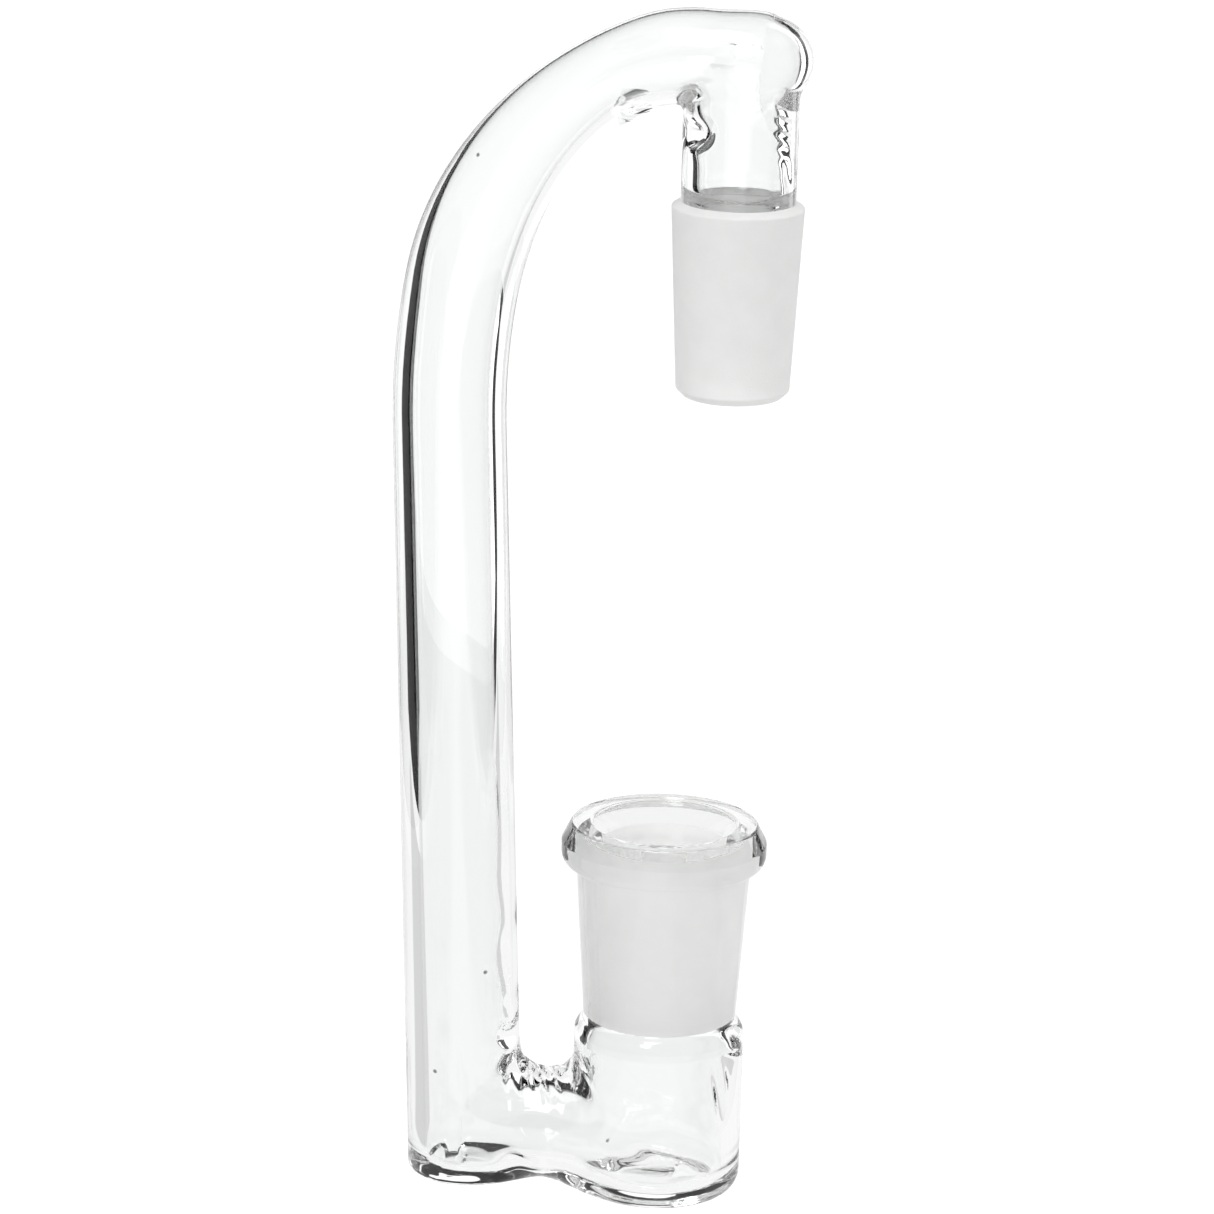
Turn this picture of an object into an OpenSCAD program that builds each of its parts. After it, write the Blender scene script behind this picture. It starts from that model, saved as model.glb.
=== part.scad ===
// Glass drop adapter with 14/20 standard-taper joints: a cane-shaped tube whose
// crook carries a ground male joint and whose foot is bridged to a closed cup
// under a ground female socket.
// Origin: centre of the cup's flat bottom, on the socket's axis. +Z is up, the
// riser stands on -X, and the male joint hangs just past the axis on +X.

/* [Tubing] */
// Outside diameter of the riser and crook tube
tube_od = 12.7; // [10:0.1:15]
// Wall thickness of the plain tubing
wall = 1.9; // [1.2:0.1:2.6]

/* [Riser] */
// Distance from the socket's axis to the riser's axis at the floor
riser_x = 22.1; // [20:0.1:26]
// Lean of the riser away from the socket, in degrees
riser_lean = 2.2; // [0:0.1:4]
// Straight length of the riser, from the floor to the bend
riser_len = 88; // [60:1:120]
// Outside diameter of the riser at the floor, where working the glass has swollen it
riser_low_od = 13.2; // [12.7:0.1:13.6]
// Height of the closed foot
foot_h = 3.4; // [3:0.1:6]
// Outer corner radius of the foot
foot_corner = 1.2; // [1:0.1:2.5]

/* [Crook] */
// Radius of the first, gentle bend
long_bend_r = 80; // [60:1:90]
// Angle turned by the gentle bend, in degrees
long_bend_angle = 12; // [10:1:30]
// Radius of the second, main bend
main_bend_r = 35; // [30:0.5:40]
// Slope of the tube above horizontal where the main bend ends, in degrees
main_bend_end = 30.5; // [20:0.5:35]
// Radius of the last, tightest bend
last_bend_r = 18; // [15:0.5:28]
// Slope of the tube above horizontal where it meets the head, in degrees
crook_end_slope = 10; // [4:1:14]
// How much the tube is flattened where it bends most
bend_dent = 1.6; // [0:0.1:4]
// Outside diameter of the tube where the bend ends
crook_end_od = 10.6; // [10:0.1:12.4]

/* [Male joint] */
// Distance from the socket's axis to the male joint's axis
male_x = 6.1; // [4:0.1:8]
// Large diameter of the standard 14/20 taper
cone_d = 14.5; // [14.5]
// Length of the standard taper
cone_len = 20; // [20]
// Height of the taper's large diameter above the floor
cone_top_z = 113.7; // [105:0.1:116]
// How far the cone is ground above the standard taper's large diameter
cone_over = 1.2; // [0:0.1:2]
// Outside diameter of the clear neck above the cone
neck_od = 12.7; // [12:0.1:13]
// Bore through the male cone
cone_bore = 9; // [8:0.1:9.4]
// Bore left at the weld between the neck and the crook
weld_bore = 7.2; // [6:0.1:8]

/* [Cup and socket] */
// Outside diameter of the cup
cup_od = 19.3; // [18:0.1:22]
// Outer corner radius of the cup's bottom
cup_corner = 2.4; // [1:0.1:3]
// Thickness of the cup's bottom
cup_floor = 2.2; // [1.5:0.1:3]
// Height of the seam between the cup and the socket
socket_z = 20.6; // [18:0.1:26]
// Outside diameter of the socket at the seam
socket_low_od = 17.3; // [16:0.1:18]
// Outside diameter of the socket under its collar
socket_high_od = 19.7; // [19:0.1:20.5]
// Height of the collar's lower edge
collar_z = 38.6; // [36:0.1:46]
// Height of the rim
rim_z = 43.7; // [42:0.1:50]
// Outside diameter of the collar
collar_od = 23.2; // [22:0.1:25]
// Outside diameter of the flat rim face
rim_od = 21; // [19:0.1:22]
// Diameter of the flared mouth at the rim
mouth_d = 16.3; // [15.5:0.1:17]

/* [Bridge] */
// Outside diameter of the bridge tube
bridge_od = 12.7; // [10:0.1:12.8]
// Height of the bridge's axis
bridge_z = 6.5; // [6.4:0.1:8]
// Bore of the bridge
bridge_bore = 7.6; // [6:0.1:8]
// How far the weld bead reaches out from the riser's wall
bridge_weld_reach = 2.2; // [1:0.1:3]

/* [Hidden] */
$fn = 96;
clear_glass = [0.86, 0.91, 0.93, 0.45];
weld_glass = [0.74, 0.82, 0.86, 0.6];
ground_glass = [0.88, 0.88, 0.87];

// Standard taper: the diameter changes by 1 in 10 of the length
taper = 0.1;
cone_low_z = cone_top_z - cone_len;
ground_end_z = cone_top_z + cone_over;
// Bevel above the ground cone and chamfer at its lower end
cone_bevel = 0.6;
cone_chamfer = 0.8;
cone_end_z = ground_end_z + cone_bevel;
// Depth of the flare at the mouth, above the socket's ground zone
mouth_flare = 2.6;
// Height of the bevel between the collar's side and the flat rim
rim_bevel = 2.1;
ground_top_z = rim_z - mouth_flare;

// Heights where one worked stretch of the glass ends and the next begins
cup_base_h = 4;
shoulder_z = socket_z - 3;
neck_top_z = 121;
weld_top_z = 125;
// Thicker glass of the bead than of the bridge
weld_od = bridge_od + 0.3;
overlap = 1;  // extra length of a cutting tool past the face that it cuts

tube_r = tube_od / 2;
bore_r = tube_r - wall;
// Radius of the foot, the same as the riser's where they meet, and the depth of its inner dish
foot_r = riser_low_od / 2 - (riser_low_od - tube_od) / 2 * foot_h / riser_len;
foot_dish = 1.4;
riser_low_r = riser_low_od / 2;
crook_end_r = crook_end_od / 2;
neck_r = neck_od / 2;

// Crook centreline in the XZ plane: heading measured from +X, turning clockwise
headings = [90 + riser_lean, 90 + riser_lean - long_bend_angle, main_bend_end, crook_end_slope];
bend_radii = [long_bend_r, main_bend_r, last_bend_r];
last_bend = len(bend_radii) - 1;
crook_start = [-riser_x - riser_len * sin(riser_lean), riser_len * cos(riser_lean)];

// Length of bend i, and the step along it from one heading to another
function bend_len(i) = bend_radii[i] * (headings[i] - headings[i + 1]) * PI / 180;
function arc_step(r, from, to) = r * [sin(from) - sin(to), cos(to) - cos(from)];

// Place and heading at a distance s along the centreline, counted from the start of bend i
function crook_at(s, i = 0, start = crook_start) =
    let (h = headings[i] - s / bend_radii[i] * 180 / PI)
    i == last_bend || s <= bend_len(i)
        ? [start + arc_step(bend_radii[i], headings[i], h), h]
        : crook_at(s - bend_len(i), i + 1, start + arc_step(bend_radii[i], headings[i], headings[i + 1]));

crook_len = bend_len(0) + bend_len(1) + bend_len(2);
crook_end = crook_at(crook_len)[0];

// The tube narrows slightly towards its end, and is dented most five sixths of the way round
dent_place = 3.72;
function crook_half_width(u) = tube_r + (crook_end_r - tube_r) * u * u;
function crook_half_depth(u) = crook_half_width(u) - bend_dent / 2 * pow(sin(180 * pow(u, dent_place)), 2);

crook_sides = 40;
crook_rings = 22;
// One ring of points around the centreline, set in by inset
function crook_ring(u, inset) =
    let (at = crook_at(u * crook_len), p = at[0], h = at[1],
         a = crook_half_depth(u) - inset, b = crook_half_width(u) - inset)
    [for (k = [0 : crook_sides - 1])
        let (t = 360 * k / crook_sides)
        [p[0] - sin(h) * a * cos(t), b * sin(t), p[1] + cos(h) * a * cos(t)]];

// Head at the end of the crook: a dome on the male joint's axis, and a smaller blown end beside it
dome_r = neck_r;
dome_z = 130.4;
blown_r = 5.4;
blown_x = male_x + 2.6;
blown_z = 131.3;
stub_end = [male_x, dome_z + 0.8];
stub_reach = norm(stub_end - crook_end);
stub_slope = atan2(stub_end[1] - crook_end[1], stub_end[0] - crook_end[0]);

// Places a shape on the riser's leaning axis, with the shape's own z = 0 at the floor
module on_riser() {
    translate([-riser_x, 0, 0]) rotate([0, -riser_lean, 0]) children();
}

// Solid bar of the riser's outer shape
module riser_bar() {
    on_riser() cylinder(r1 = riser_low_r, r2 = tube_r, h = riser_len);
}

// Everything below a height
module below(z) {
    translate([-60, -30, z - 60]) cube([120, 60, 60]);
}

// Horizontal bar along the bridge's axis, between two places on X
module bridge_bar(d, from_x, to_x) {
    translate([from_x, 0, bridge_z]) rotate([0, 90, 0]) cylinder(d = d, h = to_x - from_x);
}

// Cup wall's outer shape over the bridge's height, for saddle cuts
module cup_bar() {
    translate([0, 0, -overlap]) cylinder(d = cup_od, h = shoulder_z + overlap);
}

// Closed end of a tube: flat outside, with a rounded outer corner and a dished inside
module closed_end(r, h, corner, floor_h, inner_r) {
    dish = h - floor_h;
    rotate_extrude()
        difference() {
            union() {
                square([r - corner, h]);
                translate([0, corner]) square([r, h - corner]);
                translate([r - corner, corner]) circle(r = corner);
            }
            translate([0, floor_h]) square([inner_r - dish, dish]);
            translate([inner_r - dish, h]) circle(r = dish);
            translate([-r, 0]) square([r, h]);
        }
}

// Closed foot of the riser, standing flat on the floor
module riser_foot() {
    color(clear_glass)
        difference() {
            translate([-riser_x - foot_h * tan(riser_lean), 0, 0])
                closed_end(foot_r, foot_h, foot_corner, foot_h - foot_dish, bore_r);
            bridge_bar(bridge_bore, -riser_x, 0);
        }
}

// Straight riser, open to the bridge on its +X side
module riser_tube() {
    color(clear_glass)
        difference() {
            riser_bar();
            on_riser() translate([0, 0, -overlap]) cylinder(r = bore_r, h = riser_len + 2 * overlap);
            below(foot_h);
            bridge_bar(bridge_bore, -riser_x, 0);
        }
}

// Bent stretch: outer and inner skins swept along two arcs and joined by flat end rings
module crook_bend() {
    n = crook_sides;
    turn = 2 * n;
    points = [for (i = [0 : crook_rings])
        each concat(crook_ring(i / crook_rings, 0), crook_ring(i / crook_rings, wall))];
    function corner(i, skin, k) = i * turn + skin * n + (k % n);
    outer = [for (i = [0 : crook_rings - 1], k = [0 : n - 1])
        [corner(i, 0, k), corner(i, 0, k + 1), corner(i + 1, 0, k + 1), corner(i + 1, 0, k)]];
    inner = [for (i = [0 : crook_rings - 1], k = [0 : n - 1])
        [corner(i, 1, k + 1), corner(i, 1, k), corner(i + 1, 1, k), corner(i + 1, 1, k + 1)]];
    start = [for (k = [0 : n - 1]) [corner(0, 0, k + 1), corner(0, 0, k), corner(0, 1, k), corner(0, 1, k + 1)]];
    finish = [for (k = [0 : n - 1])
        [corner(crook_rings, 0, k), corner(crook_rings, 0, k + 1),
         corner(crook_rings, 1, k + 1), corner(crook_rings, 1, k)]];
    color(clear_glass) polyhedron(points = points, faces = concat(outer, inner, start, finish), convexity = 6);
}

// Head's shape, inset by a distance: stub from the crook, dome, blown end and branch to the neck
module head_shape(inset) {
    translate([stub_end[0], 0, stub_end[1]]) rotate([0, -90 - stub_slope, 0])
        cylinder(r = crook_end_r - inset, h = stub_reach + 2 * overlap);
    translate([male_x, 0, dome_z]) sphere(r = dome_r - inset);
    translate([blown_x, 0, blown_z]) sphere(r = blown_r - inset);
    translate([male_x, 0, weld_top_z - overlap])
        cylinder(r = dome_r - inset, h = dome_z - weld_top_z + overlap);
}

// Everything on the crook's side of its end face
module crook_side() {
    translate([crook_end[0], 0, crook_end[1]]) rotate([0, -crook_end_slope, 0])
        translate([-40, -20, -20]) cube([40, 40, 40]);
}

// Round closed head, with a stub towards the crook and a branch down to the neck
module crook_head() {
    color(clear_glass)
        difference() {
            head_shape(0);
            head_shape(wall);
            below(weld_top_z);
            crook_side();
        }
}

// Tube on the male joint's axis between two heights
module neck_ring(r, bore, from_z, to_z) {
    translate([male_x, 0, from_z])
        difference() {
            cylinder(r = r, h = to_z - from_z);
            translate([0, 0, -overlap]) cylinder(r = bore, h = to_z - from_z + 2 * overlap);
        }
}

// Ring seal between the crook's branch and the neck, thickened inwards
module neck_weld() {
    color(weld_glass) neck_ring(neck_r, weld_bore / 2, neck_top_z, weld_top_z);
}

// Clear neck between the weld and the ground cone
module male_neck() {
    color(clear_glass) neck_ring(neck_r, neck_r - wall, cone_end_z, neck_top_z);
}

// Ground male cone, bevelled at its shoulder and chamfered at its lower end
module male_cone() {
    low_r = (cone_d - cone_len * taper) / 2;
    chamfer_r = low_r + cone_chamfer * taper / 2;
    color(ground_glass)
        translate([male_x, 0, 0])
            rotate_extrude()
                polygon([
                    [cone_bore / 2, cone_low_z],
                    [low_r - cone_chamfer, cone_low_z],
                    [chamfer_r, cone_low_z + cone_chamfer],
                    [(cone_d + cone_over * taper) / 2, ground_end_z],
                    [neck_r, cone_end_z],
                    [cone_bore / 2, cone_end_z]]);
}

// Fused bead round the bridge where it meets the riser
module bridge_weld() {
    end_x = -riser_x + tube_r + bridge_weld_reach;
    color(weld_glass)
        difference() {
            bridge_bar(weld_od, -riser_x, end_x);
            riser_bar();
            bridge_bar(bridge_bore, -riser_x - overlap, end_x + overlap);
        }
}

// Short side arm from the weld to the cup's wall
module bridge_tube() {
    start_x = -riser_x + tube_r + bridge_weld_reach;
    color(clear_glass)
        difference() {
            bridge_bar(bridge_od, start_x, 0);
            cup_bar();
            bridge_bar(bridge_bore, start_x - overlap, overlap);
        }
}

// Closed flat bottom of the cup
module cup_base() {
    color(clear_glass)
        difference() {
            closed_end(cup_od / 2, cup_base_h, cup_corner, cup_floor, cup_od / 2 - wall);
            bridge_bar(bridge_bore, -cup_od, 0);
        }
}

// Cup wall, open to the bridge on its -X side
module cup_body() {
    cup_bore = cup_od / 2 - wall;
    color(clear_glass)
        difference() {
            translate([0, 0, cup_base_h]) cylinder(d = cup_od, h = shoulder_z - cup_base_h);
            translate([0, 0, cup_base_h - overlap])
                cylinder(r = cup_bore, h = shoulder_z - cup_base_h + 2 * overlap);
            bridge_bar(bridge_bore, -cup_od, 0);
        }
}

// Radius of the socket's ground bore at a height
function ground_bore_r(z) = (cone_d - (ground_top_z - z) * taper) / 2;

// Shoulder drawn in from the cup to the socket, where the two are sealed together
module cup_shoulder() {
    h = socket_z - shoulder_z;
    low_r = cup_od / 2;
    high_r = socket_low_od / 2;
    round_r = low_r - high_r;
    color(weld_glass)
        rotate_extrude()
            difference() {
                union() {
                    translate([0, shoulder_z]) square([low_r, h - round_r]);
                    translate([0, shoulder_z]) square([high_r, h]);
                    translate([high_r, socket_z - round_r]) circle(r = round_r);
                }
                polygon([
                    [-low_r, shoulder_z - overlap],
                    [low_r - wall, shoulder_z - overlap],
                    [low_r - wall, shoulder_z],
                    [ground_bore_r(socket_z), socket_z],
                    [ground_bore_r(socket_z), socket_z + overlap],
                    [-low_r, socket_z + overlap]]);
            }
}

// Female socket: clear outside, ground 1:10 taper inside
module socket_cone() {
    color(ground_glass)
        rotate_extrude()
            polygon([
                [ground_bore_r(socket_z), socket_z],
                [socket_low_od / 2, socket_z],
                [socket_high_od / 2, collar_z],
                [ground_bore_r(collar_z), collar_z]]);
}

// Thick rounded collar at the mouth, with a bevelled rim and a flared lip
module socket_collar() {
    bead_r = 1.7;
    color(clear_glass)
        rotate_extrude()
            difference() {
                union() {
                    translate([collar_od / 2 - bead_r, collar_z + bead_r]) circle(r = bead_r);
                    polygon([
                        [0, collar_z],
                        [collar_od / 2 - bead_r, collar_z],
                        [collar_od / 2, collar_z + bead_r],
                        [collar_od / 2, rim_z - rim_bevel],
                        [rim_od / 2, rim_z],
                        [0, rim_z]]);
                }
                polygon([
                    [-collar_od, collar_z - overlap],
                    [ground_bore_r(collar_z - overlap), collar_z - overlap],
                    [ground_bore_r(ground_top_z), ground_top_z],
                    [mouth_d / 2, rim_z],
                    [mouth_d / 2, rim_z + overlap],
                    [-collar_od, rim_z + overlap]]);
            }
}

riser_foot();
riser_tube();
crook_bend();
crook_head();
neck_weld();
male_neck();
male_cone();
bridge_weld();
bridge_tube();
cup_base();
cup_body();
cup_shoulder();
socket_cone();
socket_collar();
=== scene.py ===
"""Glass drop adapter: fused clear tubing with a ground male cone and a ground female socket.

Shapes are worked out in millimetres, in the CAD frame, and turned into metres at the end.
Every piece is a closed shell. Where one stretch of glass was fused to the next, both shells
end in a flat face of the seam material, which bends no light, as in glass fused into one.
"""
import math

import bmesh
import bpy
import numpy as np
from mathutils import Matrix, Vector


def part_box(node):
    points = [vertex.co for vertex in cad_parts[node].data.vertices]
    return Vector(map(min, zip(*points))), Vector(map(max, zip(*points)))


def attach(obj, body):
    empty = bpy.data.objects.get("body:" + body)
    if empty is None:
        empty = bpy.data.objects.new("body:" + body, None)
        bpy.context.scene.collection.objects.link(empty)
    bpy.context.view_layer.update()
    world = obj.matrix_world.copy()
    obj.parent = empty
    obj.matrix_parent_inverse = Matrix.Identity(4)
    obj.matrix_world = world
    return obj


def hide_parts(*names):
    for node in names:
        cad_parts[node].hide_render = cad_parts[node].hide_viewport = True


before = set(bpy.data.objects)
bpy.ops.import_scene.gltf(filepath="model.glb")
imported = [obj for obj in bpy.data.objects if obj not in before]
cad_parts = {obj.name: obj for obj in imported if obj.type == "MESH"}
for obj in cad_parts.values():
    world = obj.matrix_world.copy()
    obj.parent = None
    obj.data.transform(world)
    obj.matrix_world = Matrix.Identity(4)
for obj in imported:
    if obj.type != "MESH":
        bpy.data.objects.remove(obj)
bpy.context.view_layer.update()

MM = 0.001
OUTER, INNER, SEAM = 0, 1, 2  # skins of a glass wall
CLEAR, GROUND, FUSED, BORE = 0, 1, 2, 3  # material slots of every piece


# ---------------------------------------------------------------- dimensions, from the frame

def box_mm(node):
    """Lowest and highest corner of a CAD node, in millimetres."""
    low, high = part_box(node)
    return np.array(low) / MM, np.array(high) / MM


foot_low, foot_high = box_mm("riser_foot")
weld_low, weld_high = box_mm("neck_weld")
cone_low, cone_high = box_mm("male_cone")
bridge_low, bridge_high = box_mm("bridge_tube")
_, cup_high = box_mm("cup_body")
socket_low, socket_high = box_mm("socket_cone")
collar_low, collar_high = box_mm("socket_collar")
_, bend_high = box_mm("crook_bend")

WALL = 1.9  # thickness of the plain tubing
LEAN = math.radians(2.2)  # lean of the riser away from the socket
RISER_LEN = 88.0
TUBE_R = bend_high[1]
LOW_R = foot_high[1]  # the riser is swollen where it was worked at its foot
BORE_R = TUBE_R - WALL
FOOT_TOP = 3.4
RISER_X = (foot_low[0] + foot_high[0]) / 2 + FOOT_TOP * math.tan(LEAN)

MALE_X = (cone_low[0] + cone_high[0]) / 2
NECK_R = weld_high[1]
CONE_R = cone_high[1]
CONE_LOW, CONE_TOP = cone_low[2], cone_high[2]
NECK_TOP, WELD_TOP = weld_low[2], weld_high[2]

CUP_R = cup_high[1]
CUP_TOP = cup_high[2]
CUP_BASE = 4.0
SOCKET_Z = socket_low[2]
SOCKET_LOW_R, SOCKET_HIGH_R = 8.65, socket_high[1]
COLLAR_Z, RIM_Z = collar_low[2], collar_high[2]
COLLAR_R = collar_high[1]
SOCKET_SLOPE = (SOCKET_HIGH_R - SOCKET_LOW_R) / (COLLAR_Z - SOCKET_Z)
MOUTH_Z = RIM_Z - 2.6  # the ground bore begins here, and the mouth flares above it
GROUND_R = 7.25  # the ground bore's radius at its top
GROUND_SLOPE = 0.05  # 1 in 10 on the diameter

BRIDGE_R = (bridge_high[2] - bridge_low[2]) / 2
BRIDGE_Z = (bridge_low[2] + bridge_high[2]) / 2
BRIDGE_BORE_R = 4.1
WELD_X0 = RISER_X + LOW_R  # seams of the bridge, from the riser to the cup
WELD_X1 = bridge_low[0]
BRIDGE_X1 = -CUP_R - 0.25
SEAM_Z = SOCKET_Z + 0.8  # the socket's turned wall begins above the shoulder's fillet


def ground_bore_r(z):
    """Radius of the socket's ground bore, a 1 in 10 taper."""
    return GROUND_R - (MOUTH_Z - z) * GROUND_SLOPE


# ---------------------------------------------------------------- fields: negative inside

def smooth_union(a, b, blend):
    """Union of two fields, with a fillet about as wide as blend."""
    h = np.clip(0.5 + 0.5 * (b - a) / blend, 0, 1)
    return b * (1 - h) + a * h - blend * h * (1 - h)


def capped(radial, end, corner):
    """Bar from its radial field and the field of its flat end, with a rounded corner."""
    a, b = radial + corner, end + corner
    return np.hypot(np.maximum(a, 0), np.maximum(b, 0)) + np.minimum(np.maximum(a, b), 0) - corner


def bar(p, z, radius, from_x, to_x):
    """Round bar along X at height z."""
    radial = np.hypot(p[:, 1], p[:, 2] - z) - radius
    return np.maximum(radial, np.abs(p[:, 0] - (from_x + to_x) / 2) - (to_x - from_x) / 2)


def ring(p, x, z, turn, radius, squash):
    """Tube bent in the XZ plane about the point (x, z), wider across the bend by squash."""
    return np.hypot(np.hypot(p[:, 0] - x, p[:, 2] - z) - turn, p[:, 1] / squash) - radius


def ellipsoid(p, centre, radii):
    """About the distance to an ellipsoid."""
    q = (p - centre) / radii
    k0 = np.linalg.norm(q, axis=1) + 1e-9
    k1 = np.linalg.norm(q / radii, axis=1) + 1e-9
    return k0 * (k0 - 1) / k1


def ripple(p, centre, spread, waves, height):
    """Patch of ripples: waves gives radians per millimetre, and spread how fast it fades."""
    d = p - np.array(centre)
    fade = np.exp(-0.5 * ((d / np.array(spread)) ** 2).sum(1))
    return height * fade * np.cos(d @ np.array(waves))


def marked(body, p, marks):
    """Field with patches of ripples added, each (centre, spread, waves, height)."""
    for mark in marks:
        body = body + ripple(p, *mark)
    return body


def gradient(field, p, h=0.02):
    """Gradient of a field at points."""
    g = np.empty_like(p)
    for k in range(3):
        step = np.zeros(3)
        step[k] = h
        g[:, k] = (field(p + step) - field(p - step)) / (2 * h)
    return g


# ---------------------------------------------------------------- lower body

# Rounding of the outside: flat ends first, then the fillets where two tubes meet
FOOT_CORNER, CUP_CORNER, SHOULDER_CORNER, FLOOR_EDGE = 1.2, 2.4, 1.6, 0.5
BRIDGE_FILLET, CUP_FILLET, SOCKET_FILLET = 3.4, 4.0, 1.0
# Glass under each bore, the bore's corner there, and the fillets between the bores
FOOT_FLOOR, FOOT_HOLLOW = 1.5, 1.6
CUP_FLOOR, CUP_HOLLOW = 1.3, 3.0
BRIDGE_BORE_FILLET, CUP_BORE_FILLET = 3.0, 3.4
# The shoulder draws in from the cup's bore to the socket's over this stretch
DRAW_Z, DRAW_HIGH = 17.6, 3.6
LOW_BODY_TOP = 24  # the fields of the cup and socket go up to here, past their seam
# Marks of the glassblower's work: centre, spread, waves and height of each patch of ripples
LOW_OUTER_MARKS = (((-12.6, -0.6, 12.9), (2.2, 1.6, 0.8), (4.4, 1.6, 0.6), -0.12),)  # on the bridge
LOW_INNER_MARKS = (
    ((6.8, -3.6, 13.6), (1.3, 1.4, 2.6), (2.4, 1.6, 0.7), 0.12),  # in the cup, on the right
    ((7.6, 0.5, 18.2), (1.2, 2.2, 0.9), (1.6, 0.9, 2.4), 0.25),  # under the shoulder
    ((-1.0, -6.5, 6.6), (4.5, 3.0, 2.4), (0.9, 0.4, 1.5), 0.03),  # low in the cup, in front
    ((2.0, -5.0, 3.0), (4.5, 4.0, 1.6), (0.7, 0.3, 1.7), 0.03),  # in the cup's floor
    ((-14.0, -1.0, 10.8), (2.4, 1.6, 0.8), (3.4, 1.6, 0.6), 0.14),  # in the bridge
    ((-17.6, 0, 16.4), (1.2, 1.8, 2.2), (1.1, 0.3, 1.5), 0.35),  # in the riser, over the bridge
    ((-17.9, 0, 26.0), (1.4, 1.8, 8.0), (0.3, 0.1, 0.62), 0.16),  # and further up
)


def riser_place(p):
    """Distance of points along the riser's axis from the floor, and out from the axis."""
    dx = p[:, 0] - RISER_X
    along = p[:, 2] * math.cos(LEAN) - dx * math.sin(LEAN)
    across = dx * math.cos(LEAN) + p[:, 2] * math.sin(LEAN)
    return along, np.hypot(across, p[:, 1])


def low_outer(p):
    """Outside of the foot, riser, bridge, cup and shoulder."""
    along, out = riser_place(p)
    radial = np.hypot(p[:, 0], p[:, 1])
    h = p[:, 2]
    riser = capped(out - LOW_R + (LOW_R - TUBE_R) * along / RISER_LEN, -h, FOOT_CORNER)
    shoulder = capped(radial - CUP_R, h - SOCKET_Z + 0.2, SHOULDER_CORNER)
    cup = np.maximum(capped(radial - CUP_R, -h, CUP_CORNER), shoulder)
    socket = radial - SOCKET_LOW_R - (h - SOCKET_Z) * SOCKET_SLOPE
    socket = np.maximum(np.maximum(socket, 12 - h), h - LOW_BODY_TOP)
    cup = smooth_union(cup, socket, SOCKET_FILLET)
    bridge = bar(p, BRIDGE_Z, BRIDGE_R, RISER_X, 0)
    body = smooth_union(smooth_union(riser, bridge, BRIDGE_FILLET), cup, CUP_FILLET)
    body = capped(body, -h, FLOOR_EDGE)
    return marked(body, p, LOW_OUTER_MARKS)


def low_inner(p):
    """Inside of the foot, riser, bridge, cup and shoulder."""
    _, out = riser_place(p)
    radial = np.hypot(p[:, 0], p[:, 1])
    h = p[:, 2]
    riser = capped(out - BORE_R, FOOT_FLOOR - h, FOOT_HOLLOW)
    t = np.clip((h - DRAW_Z) / DRAW_HIGH, 0, 1)
    wide = CUP_R - WALL
    narrow = ground_bore_r(np.maximum(h, SOCKET_Z))
    cup = capped(radial - wide - (narrow - wide) * t * t * (3 - 2 * t), CUP_FLOOR - h, CUP_HOLLOW)
    cup = np.maximum(cup, h - LOW_BODY_TOP)
    bridge = bar(p, BRIDGE_Z, BRIDGE_BORE_R, RISER_X + 1.5, 0)
    body = smooth_union(smooth_union(riser, bridge, BRIDGE_BORE_FILLET), cup, CUP_BORE_FILLET)
    return marked(body, p, LOW_INNER_MARKS)


# ---------------------------------------------------------------- crook

# Radius and angle of each bend in turn
BENDS = ((80.0, 12.0), (35.0, 49.7), (18.0, 20.5))
CROOK_LEN = sum(radius * math.radians(angle) for radius, angle in BENDS)
# Where the crook ends: from its centreline to the outside of the curve, to the inside, and across
END_OVER, END_UNDER, END_WIDE = 5.15, 5.25, 6.0
END_WALLS = (0.42, 1.2, 0.85)  # glass over, under and beside the bore there
# How far the bend draws the tube in, over and under its centreline
OVER_DENT, UNDER_DENT = 1.5, 1.65
# Where along the crook each change of its section starts, and how long it takes
OVER_FLATTENS, UNDER_FLATTENS = (17, 33), (19, 28)
OVER_RECOVERS, UNDER_RECOVERS = (48, 6), (46, 7.5)
WALL_THINS = (8, 34)


def crook_path(s):
    """Place (x, z) and heading at a distance s along the crook's centreline."""
    heading = math.pi / 2 + LEAN
    x = RISER_X - RISER_LEN * math.sin(LEAN)
    z = RISER_LEN * math.cos(LEAN)
    for i, (radius, angle) in enumerate(BENDS):
        length = radius * math.radians(angle)
        step = s if i == len(BENDS) - 1 else min(s, length)
        after = heading - step / radius
        x += radius * (math.sin(heading) - math.sin(after))
        z += radius * (math.cos(after) - math.cos(heading))
        heading = after
        s -= step
    return x, z, heading


def eased(s, stretch):
    """Smooth step from 0 to 1 over a stretch of the crook: where it starts, and its length."""
    start, length = stretch
    t = min(max((s - start) / length, 0), 1)
    return t * t * (3 - 2 * t)


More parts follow.
